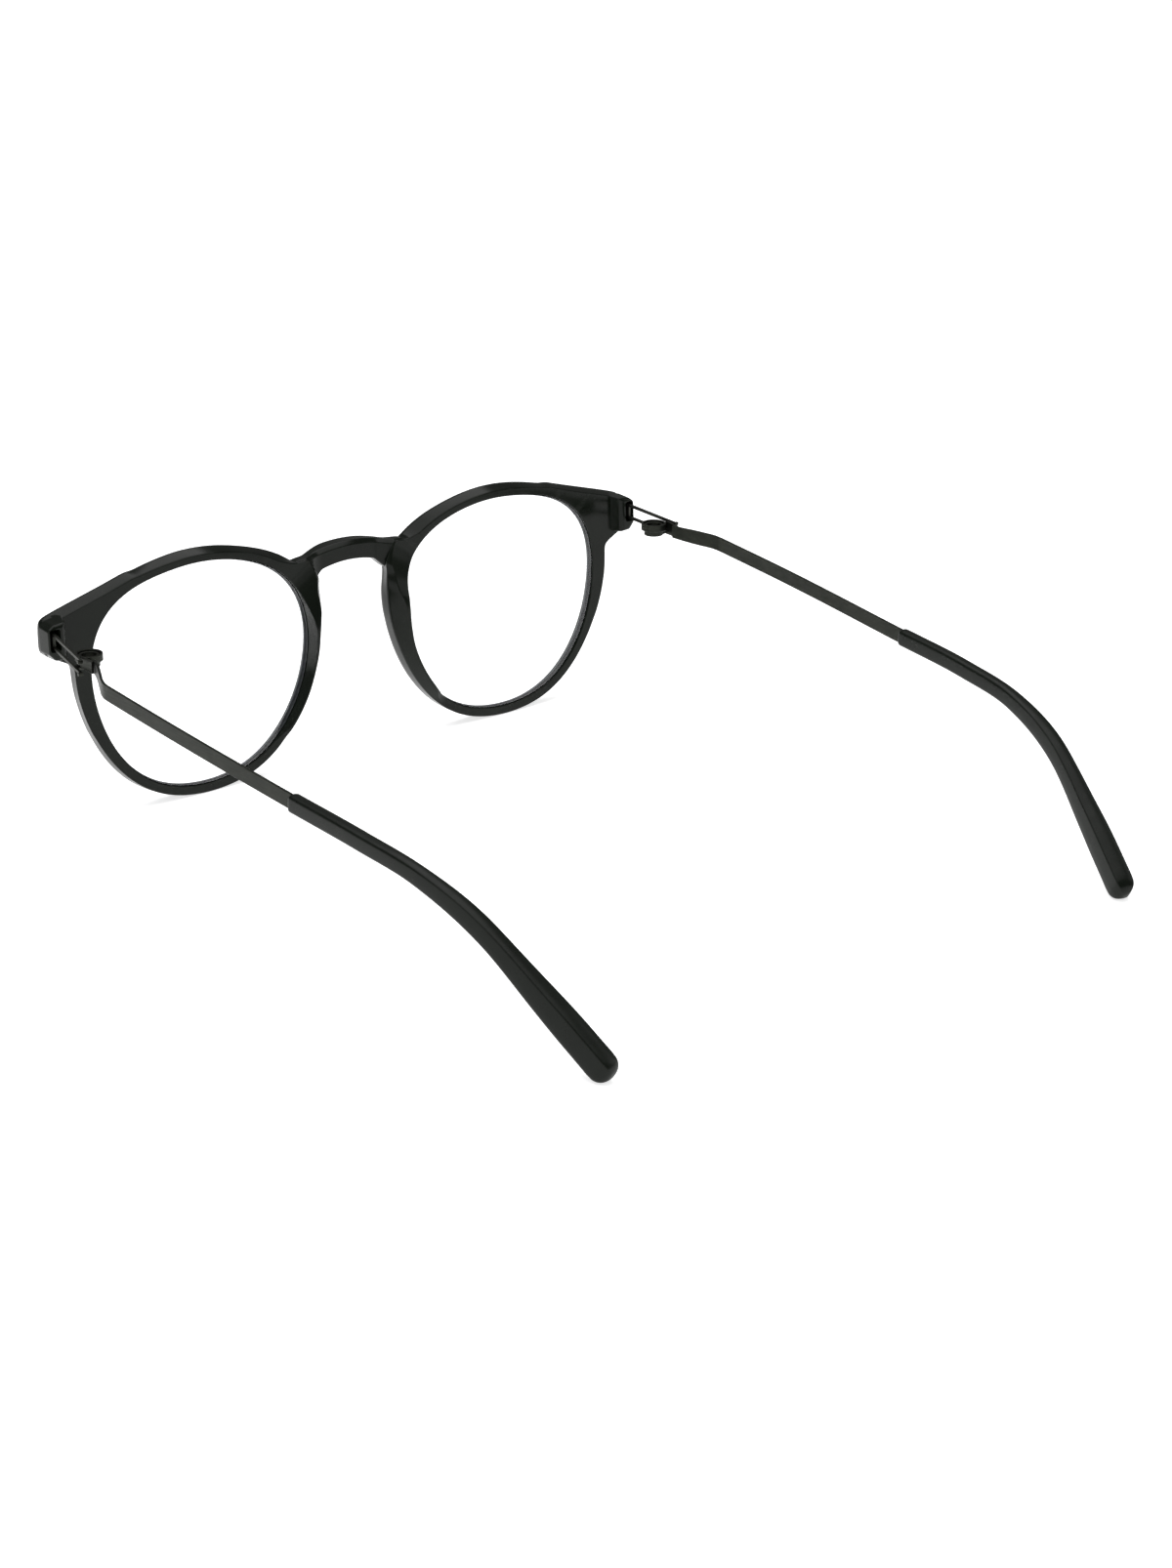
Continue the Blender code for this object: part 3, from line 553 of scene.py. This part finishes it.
# ---------------------------------------------------------------- temples
def spline(stations, y):
    n = len(stations)
    i = max(k for k in range(n - 1) if stations[k][0] <= y or k == 0)
    a, b = stations[i], stations[i + 1]
    step = b[0] - a[0]

    def slope(k, column):
        low, high = stations[max(k - 1, 0)], stations[min(k + 1, n - 1)]
        mid = stations[k]
        if k in (0, n - 1):
            return (high[column] - low[column]) / (high[0] - low[0])
        before = (mid[column] - low[column]) / (mid[0] - low[0])
        after = (high[column] - mid[column]) / (high[0] - mid[0])
        weight = (mid[0] - low[0]) / (high[0] - low[0])
        return before * (1.0 - weight) + after * weight

    t = (y - a[0]) / step
    values = []
    for column in range(1, len(a)):
        m0, m1 = slope(i, column) * step, slope(i + 1, column) * step
        values.append(
            (2 * t**3 - 3 * t**2 + 1) * a[column] + (t**3 - 2 * t**2 + t) * m0 + (-2 * t**3 + 3 * t**2) * b[column] + (t**3 - t**2) * m1
        )
    return values


def temple_point(y):
    x, z = spline(TEMPLE_STATIONS, y)
    return Vector((x, y, z))


def temple_frame(y):
    tangent = (temple_point(min(y + 0.3, 143.0)) - temple_point(y - 0.3)).normalized()
    up = (Vector((0.0, 0.0, 1.0)) - tangent * tangent.z).normalized()
    return temple_point(y), up, tangent.cross(up).normalized(), tangent


def sheet_section(height, thickness, radius):
    return rounded([
        (-0.5 * thickness, -0.5 * height, radius), (0.5 * thickness, -0.5 * height, radius),
        (0.5 * thickness, 0.5 * height, radius), (-0.5 * thickness, 0.5 * height, radius),
    ], 3)


def strip_loop(side, y, height, thickness, radius):
    centre, up, out, _ = temple_frame(y)
    loop = []
    for o, u in sheet_section(height, thickness, radius):
        p = centre + out * o + up * u
        loop.append((side * p.x, p.y, p.z))
    return loop


FOOT = ((14.75, 64.2, 11.75), (15.7, 64.45, 11.68), (20.8, 66.6, 11.2), (22.9, 67.55, 10.97), (24.2, 67.88, 10.78), (26.0, None, None), (30.0, None, None))


def build_arm(side, label):
    """The sheet-metal temple: a short foot, a bend, the long strip and its core in the tip."""
    rows = [(y, *(temple_point(y).xz if x is None else (x, z))) for y, x, z in FOOT]
    loops = []
    ys = [14.75 + 0.35 * i for i in range(33)]
    for y in ys:
        if y > 26.0:
            break
        x, z = spline(rows, y)
        x1, z1 = spline(rows, y + 0.05)
        x0, z0 = spline(rows, max(y - 0.05, 14.75))
        span = 0.05 + (y - max(y - 0.05, 14.75))
        direction = Vector((x1 - x0, span)).normalized()
        out = Vector((direction.y, -direction.x))
        height = mix(ARM_HEIGHT - 0.3, ARM_HEIGHT, smooth((y - 14.75) / 5.0))
        loops.append([(side * (x + o * out.x), y + o * out.y, z + u) for o, u in sheet_section(height, SHEET, 0.09)])
    y = 26.2
    while y < SLEEVE_START - 0.3:
        loops.append(strip_loop(side, y, ARM_HEIGHT, SHEET, 0.09))
        y += 1.0
    loops.append(strip_loop(side, SLEEVE_START - 0.25, ARM_HEIGHT, SHEET, 0.09))
    loops.append(strip_loop(side, SLEEVE_START - 0.2, CORE_HEIGHT, SHEET, 0.09))
    y = 78.0
    while y < CORE_END + 0.1:
        loops.append(strip_loop(side, y, CORE_HEIGHT, SHEET, 0.09))
        y += 2.0
    arm = make("temple_strip_" + label, *loft(loops))
    shade(arm, 35.0)
    return arm


def section_size(y):
    rows = SLEEVE_SECTIONS
    for a, b in zip(rows, rows[1:]):
        if y <= b[0]:
            t = smooth((y - a[0]) / (b[0] - a[0]))
            return a[1] + (b[1] - a[1]) * t, a[2] + (b[2] - a[2]) * t
    return rows[-1][1:]


def sleeve_loop(side, y, scale, shift=0.0):
    """The tip's section: round-edged near the strip, with crisp upper edges towards the end."""
    centre, up, out, tangent = temple_frame(y)
    centre = centre + tangent * shift
    height, thickness = section_size(y)
    height, thickness = height * scale, thickness * scale
    crisp = smooth((y - 94.0) / 22.0)
    top = mix(0.95, 0.30, crisp) * scale
    low = mix(1.0, 1.25, crisp) * scale
    crown = 0.10 * thickness
    a, b = 0.5 * thickness, 0.5 * height
    corners = [
        (-a, 0.0, 0.0), (-a * 0.97, -b * 0.86, low), (0.0, -b, 0.0), (a * 0.97, -b * 0.86, low), (a, 0.0, 0.0),
        (a * mix(0.97, 0.86, crisp), b - crown, top), (0.0, b, 0.0), (-a * mix(0.97, 0.86, crisp), b - crown, top),
    ]
    loop = []
    for o, u in rounded(corners, 5):
        p = centre + out * o + up * u
        loop.append((side * p.x, p.y, p.z))
    return loop


def build_tip(side, label):
    last = SLEEVE_SECTIONS[-1][0]
    loops = [sleeve_loop(side, SLEEVE_START, 0.80), sleeve_loop(side, SLEEVE_START + 0.05, 0.88), sleeve_loop(side, SLEEVE_START + 0.2, 0.96), sleeve_loop(side, SLEEVE_START + 0.42, 1.0)]
    y = SLEEVE_START + 1.2
    while y < last - 1.2:
        loops.append(sleeve_loop(side, y, 1.0))
        y += 1.0
    radius = 2.3
    for i in range(14):
        a = 0.5 * math.pi * i / 14.4
        loops.append(sleeve_loop(side, last, math.cos(a) ** 0.92 * 0.98, (radius - 0.08) * math.sin(a) - 1.0))
    tip = make("temple_tip_acetate_" + label, *loft(loops))
    gap = 0.26
    ys = [SLEEVE_START - 0.6] + [78.0 + 2.0 * i for i in range(17)] + [CORE_END + 0.5]
    cutter = make("core_hole", *loft([strip_loop(side, y, CORE_HEIGHT + gap, SHEET + gap, 0.12) for y in ys]))
    combine(tip, cutter, "DIFFERENCE")
    shade(tip, 38.0)
    return tip


# ---------------------------------------------------------------- materials
def shader_of(name):
    mat = bpy.data.materials.new(name)
    mat.use_nodes = True
    tree = mat.node_tree
    return mat, tree, tree.nodes["Principled BSDF"]


def node(tree, kind, **settings):
    made = tree.nodes.new(kind)
    for key, value in settings.items():
        setattr(made, key, value)
    return made


def noise(tree, vector, scale, detail=4.0, rough=0.5, distortion=0.0):
    made = node(tree, "ShaderNodeTexNoise")
    made.inputs["Scale"].default_value = scale
    made.inputs["Detail"].default_value = detail
    made.inputs["Roughness"].default_value = rough
    made.inputs["Distortion"].default_value = distortion
    tree.links.new(vector, made.inputs["Vector"])
    return made


def ranged(tree, value, low, high, to_low, to_high):
    made = node(tree, "ShaderNodeMapRange")
    made.inputs["From Min"].default_value = low
    made.inputs["From Max"].default_value = high
    made.inputs["To Min"].default_value = to_low
    made.inputs["To Max"].default_value = to_high
    tree.links.new(value, made.inputs["Value"])
    return made.outputs["Result"]


def ramp(tree, factor, stops):
    made = node(tree, "ShaderNodeValToRGB")
    elements = made.color_ramp.elements
    while len(elements) < len(stops):
        elements.new(0.5)
    for element, (position, colour) in zip(elements, stops):
        element.position = position
        element.color = (*colour, 1.0)
    tree.links.new(factor, made.inputs["Fac"])
    return made.outputs["Color"]


def mapped(tree, scale=(1.0, 1.0, 1.0), rotation=(0.0, 0.0, 0.0)):
    coords = node(tree, "ShaderNodeTexCoord")
    mapping = node(tree, "ShaderNodeMapping")
    mapping.inputs["Scale"].default_value = scale
    mapping.inputs["Rotation"].default_value = rotation
    tree.links.new(coords.outputs["Object"], mapping.inputs["Vector"])
    return mapping.outputs["Vector"]


def bump(tree, height, strength, distance, shader, under=None):
    made = node(tree, "ShaderNodeBump")
    made.inputs["Strength"].default_value = strength
    made.inputs["Distance"].default_value = distance
    tree.links.new(height, made.inputs["Height"])
    if under is not None:
        tree.links.new(under, made.inputs["Normal"])
    if shader is not None:
        tree.links.new(made.outputs["Normal"], shader.inputs["Normal"])
    return made.outputs["Normal"]


def acetate_material(name, roughness, worn, tint=(1.0, 1.40, 0.92)):
    """Black acetate: faint cloudy depth, polishing haze, hairline scratches, edges a little duller."""
    mat, tree, shader = shader_of(name)
    v = mapped(tree)
    cloud = noise(tree, v, 160.0, 5.0, 0.55, 0.6)
    dark = tuple(0.0040 * t for t in tint)
    pale = tuple(0.0062 * t for t in tint)
    colour = ramp(tree, cloud.outputs["Fac"], [(0.28, dark), (0.72, pale)])
    geometry = node(tree, "ShaderNodeNewGeometry")
    edge = ranged(tree, geometry.outputs["Pointiness"], 0.52, 0.60, 0.0, 1.0)
    fine = noise(tree, v, 2600.0, 3.0, 0.6)
    broken = node(tree, "ShaderNodeMath", operation="MULTIPLY")
    tree.links.new(edge, broken.inputs[0])
    tree.links.new(fine.outputs["Fac"], broken.inputs[1])
    edge_mix = node(tree, "ShaderNodeMix", data_type="RGBA")
    edge_mix.inputs["B"].default_value = (0.018, 0.021, 0.017, 1.0)
    tree.links.new(ranged(tree, broken.outputs[0], 0.2, 0.8, 0.0, 0.5), edge_mix.inputs["Factor"])
    tree.links.new(colour, edge_mix.inputs["A"])
    tree.links.new(edge_mix.outputs["Result"], shader.inputs["Base Color"])
    haze = noise(tree, v, 420.0, 6.0, 0.62, 0.3)
    rough = ranged(tree, haze.outputs["Fac"], 0.3, 0.7, roughness - worn, roughness + worn)
    scratch = noise(tree, mapped(tree, (300.0, 5200.0, 5200.0), (0.3, 0.5, 0.9)), 1.0, 2.0, 0.5)
    rub = ranged(tree, scratch.outputs["Fac"], 0.66, 0.72, 0.0, 0.08)
    total = node(tree, "ShaderNodeMath", operation="ADD")
    tree.links.new(rough, total.inputs[0])
    tree.links.new(rub, total.inputs[1])
    worn_edge = node(tree, "ShaderNodeMath", operation="MULTIPLY_ADD")
    worn_edge.inputs[1].default_value = 0.10
    tree.links.new(broken.outputs[0], worn_edge.inputs[0])
    tree.links.new(total.outputs[0], worn_edge.inputs[2])
    tree.links.new(worn_edge.outputs[0], shader.inputs["Roughness"])
    swell = noise(tree, v, 90.0, 2.0, 0.4)
    first = bump(tree, swell.outputs["Fac"], 0.10, 0.0006, None)
    second = bump(tree, fine.outputs["Fac"], 0.05, 0.00003, None, first)
    bump(tree, scratch.outputs["Fac"], 0.04, 0.00002, shader, second)
    shader.inputs["IOR"].default_value = 1.49
    shader.inputs["Specular IOR Level"].default_value = 0.16
    return mat


def steel_material():
    """Black-coated stainless sheet: satin, with rolling lines along the strip and a little rubbed edge."""
    mat, tree, shader = shader_of("black_steel_satin")
    v = mapped(tree)
    brush = noise(tree, mapped(tree, (5200.0, 130.0, 5200.0)), 1.0, 3.0, 0.6)
    patch = noise(tree, v, 260.0, 5.0, 0.6, 0.4)
    fleck = noise(tree, v, 3800.0, 2.0, 0.6)
    colour = ramp(tree, patch.outputs["Fac"], [(0.30, (0.019, 0.021, 0.017)), (0.70, (0.028, 0.030, 0.024))])
    geometry = node(tree, "ShaderNodeNewGeometry")
    edge = ranged(tree, geometry.outputs["Pointiness"], 0.53, 0.62, 0.0, 1.0)
    broken = node(tree, "ShaderNodeMath", operation="MULTIPLY")
    tree.links.new(edge, broken.inputs[0])
    tree.links.new(fleck.outputs["Fac"], broken.inputs[1])
    edge_mix = node(tree, "ShaderNodeMix", data_type="RGBA")
    edge_mix.inputs["B"].default_value = (0.085, 0.084, 0.076, 1.0)
    tree.links.new(ranged(tree, broken.outputs[0], 0.25, 0.8, 0.0, 0.7), edge_mix.inputs["Factor"])
    tree.links.new(colour, edge_mix.inputs["A"])
    tree.links.new(edge_mix.outputs["Result"], shader.inputs["Base Color"])
    tree.links.new(ranged(tree, brush.outputs["Fac"], 0.3, 0.7, 0.36, 0.50), shader.inputs["Roughness"])
    first = bump(tree, brush.outputs["Fac"], 0.12, 0.00002, None)
    bump(tree, fleck.outputs["Fac"], 0.10, 0.00002, shader, first)
    shader.inputs["Metallic"].default_value = 0.92
    return mat


def lens_material():
    """Clear lens with a faint coating and the odd speck of dust; it lets lamps through."""
    mat, tree, shader = shader_of("lens_clear")
    v = mapped(tree)
    veil = noise(tree, v, 120.0, 4.0, 0.6, 0.8)
    tree.links.new(ramp(tree, veil.outputs["Fac"], [(0.3, (0.985, 0.992, 0.988)), (0.7, (0.995, 0.998, 0.996))]), shader.inputs["Base Color"])
    tree.links.new(ranged(tree, veil.outputs["Fac"], 0.3, 0.7, 0.0, 0.012), shader.inputs["Roughness"])
    shader.inputs["Transmission Weight"].default_value = 1.0
    shader.inputs["IOR"].default_value = 1.5
    out = tree.nodes["Material Output"]
    path = node(tree, "ShaderNodeLightPath")
    clear = node(tree, "ShaderNodeBsdfTransparent")
    both = node(tree, "ShaderNodeMixShader")
    tree.links.new(path.outputs["Is Shadow Ray"], both.inputs[0])
    tree.links.new(shader.outputs["BSDF"], both.inputs[1])
    tree.links.new(clear.outputs["BSDF"], both.inputs[2])
    tree.links.new(both.outputs["Shader"], out.inputs["Surface"])
    return mat


def floor_material():
    mat, tree, shader = shader_of("floor_white")
    v = mapped(tree)
    grain = noise(tree, v, 30.0, 6.0, 0.6)
    tree.links.new(ramp(tree, grain.outputs["Fac"], [(0.3, (0.90, 0.90, 0.90)), (0.7, (0.92, 0.92, 0.92))]), shader.inputs["Base Color"])
    shader.inputs["Roughness"].default_value = 0.8
    shader.inputs["Specular IOR Level"].default_value = 0.1
    shader.inputs["Emission Color"].default_value = (1.0, 1.0, 1.0, 1.0)
    shader.inputs["Emission Strength"].default_value = 0.72
    bump(tree, grain.outputs["Fac"], 0.05, 0.0005, shader)
    return mat


def lens_edge_material():
    """The ground edge of a lens inside the black rim: grey, frosted, seen through the plastic."""
    mat, tree, shader = shader_of("lens_edge_frosted")
    v = mapped(tree)
    grind = noise(tree, mapped(tree, (900.0, 4200.0, 900.0)), 1.0, 3.0, 0.6)
    cloud = noise(tree, v, 210.0, 3.0, 0.5)
    mixed = node(tree, "ShaderNodeMath", operation="MULTIPLY")
    tree.links.new(grind.outputs["Fac"], mixed.inputs[0])
    tree.links.new(cloud.outputs["Fac"], mixed.inputs[1])
    tree.links.new(ramp(tree, mixed.outputs[0], [(0.15, (0.020, 0.022, 0.025)), (0.42, (0.040, 0.043, 0.048))]), shader.inputs["Base Color"])
    tree.links.new(ranged(tree, grind.outputs["Fac"], 0.3, 0.7, 0.42, 0.62), shader.inputs["Roughness"])
    bump(tree, grind.outputs["Fac"], 0.10, 0.00002, shader)
    shader.inputs["Specular IOR Level"].default_value = 0.25
    return mat


def lens_bevel_painted_highlight_material():
    """The polished safety bevel at the lens's front and back corners, coloured bright grey: a painted highlight in
    place of the light it catches.
    """
    mat, tree, shader = shader_of("lens_bevel_painted_highlight")
    highlight_tone = noise(tree, mapped(tree), 340.0, 3.0, 0.5)
    # painted highlight: the bevel's base colour is a bright bluish grey standing for the light line along the lens edge
    tree.links.new(ramp(tree, highlight_tone.outputs["Fac"], [(0.3, (0.22, 0.24, 0.27)), (0.7, (0.30, 0.32, 0.35))]), shader.inputs["Base Color"])
    tree.links.new(ranged(tree, highlight_tone.outputs["Fac"], 0.3, 0.7, 0.18, 0.30), shader.inputs["Roughness"])
    bump(tree, highlight_tone.outputs["Fac"], 0.05, 0.00002, shader)
    return mat


ACETATE = acetate_material("acetate_black_polished", 0.17, 0.035)
TIP = acetate_material("acetate_black_satin", 0.30, 0.05)
STEEL = steel_material()
LENS = lens_material()
LENS_EDGE = lens_edge_material()
LENS_BEVEL_PAINTED_HIGHLIGHT = lens_bevel_painted_highlight_material()


def dress(obj, mat, slot, body, *nodes):
    for vertex in obj.data.vertices:
        vertex.co = [min(max(value, low), high) for value, low, high in zip(vertex.co, *CAD_BOX)]
    if len(obj.data.materials) == 0:
        obj.data.materials.append(mat)
    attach(obj, body)
    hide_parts(*nodes)


dress(build_front(), ACETATE, "acetate", "front_body", "front")
for SIDE, LABEL in ((1.0, "left"), (-1.0, "right")):
    dress(build_lens(SIDE, LABEL), LENS, "lens", "front_body", "lens_" + LABEL)
    dress(build_fork(SIDE, LABEL), STEEL, "steel", "front_body", "hinge_fork_" + LABEL)
    dress(build_coil(SIDE, LABEL), STEEL, "steel", "temple_" + LABEL, "hinge_coil_" + LABEL)
    dress(build_arm(SIDE, LABEL), STEEL, "steel", "temple_" + LABEL, "temple_arm_" + LABEL)
    dress(build_tip(SIDE, LABEL), TIP, "tip", "temple_" + LABEL, "temple_tip_" + LABEL)

# ---------------------------------------------------------------- stage
floor_mesh = bpy.data.meshes.new("floor")
floor_mesh.from_pydata([(-4.0, -4.0, -0.00003), (4.0, -4.0, -0.00003), (4.0, 4.0, -0.00003), (-4.0, 4.0, -0.00003)], [], [(0, 1, 2, 3)])
floor = bpy.data.objects.new("floor", floor_mesh)
scene.collection.objects.link(floor)
floor_mesh.materials.append(floor_material())


def softbox(name, location, size, power, target=(0.0, -0.02, 0.02), colour=(1.0, 1.0, 1.0)):
    light = bpy.data.lights.new(name, "AREA")
    light.shape = "RECTANGLE"
    light.size, light.size_y = size
    light.energy = power
    light.color = colour
    obj = bpy.data.objects.new(name, light)
    scene.collection.objects.link(obj)
    obj.location = location
    aim = Vector(target) - Vector(location)
    obj.rotation_mode = "QUATERNION"
    obj.rotation_quaternion = aim.to_track_quat("-Z", "Y")
    return obj


softbox("softbox_top", (0.0, -0.15, 1.25), (1.7, 1.5), 15.0)
softbox("softbox_left", (1.3, 0.1, 0.55), (0.8, 0.9), 2.6, colour=(0.92, 0.96, 1.0))
softbox("softbox_right", (-1.2, 0.5, 0.6), (0.8, 0.9), 2.4)

# the white backdrop, and the dimmer room that lights and reflects
world = bpy.data.worlds.new("studio")
scene.world = world
world.use_nodes = True
sky = world.node_tree
backdrop = sky.nodes["Background"]
backdrop.inputs["Color"].default_value = (1.0, 1.0, 1.0, 1.0)
backdrop.inputs["Strength"].default_value = 1.0
room = sky.nodes.new("ShaderNodeBackground")
room.inputs["Color"].default_value = (1.0, 1.0, 1.0, 1.0)
room.inputs["Strength"].default_value = 0.17
sky_path = sky.nodes.new("ShaderNodeLightPath")
sky_mix = sky.nodes.new("ShaderNodeMixShader")
sky.links.new(sky_path.outputs["Is Camera Ray"], sky_mix.inputs[0])
sky.links.new(room.outputs[0], sky_mix.inputs[1])
sky.links.new(backdrop.outputs[0], sky_mix.inputs[2])
sky.links.new(sky_mix.outputs[0], sky.nodes["World Output"].inputs["Surface"])

scene.view_settings.view_transform = "Standard"
scene.view_settings.look = "None"

# ---------------------------------------------------------------- camera
azimuth, elevation = math.radians(141.606), math.radians(21.142)
back = Vector((math.sin(azimuth) * math.cos(elevation), -math.cos(azimuth) * math.cos(elevation), math.sin(elevation)))
right = Vector((-back.y, back.x, 0.0)).normalized()
up = back.cross(right).normalized()
right, up, back = turn(right), turn(up), turn(back)
camera_data = bpy.data.cameras.new("camera")
camera_data.sensor_width = 36.0
camera_data.lens = 36.0 * 3359.46 / 1606.0
camera_data.clip_start, camera_data.clip_end = 0.01, 50.0
camera = bpy.data.objects.new("camera", camera_data)
scene.collection.objects.link(camera)
where = place(327.1249, 481.5306, 194.8869)
camera.matrix_world = Matrix((
    (right.x, up.x, back.x, where.x),
    (right.y, up.y, back.y, where.y),
    (right.z, up.z, back.z, where.z),
    (0.0, 0.0, 0.0, 1.0),
))
scene.camera = camera
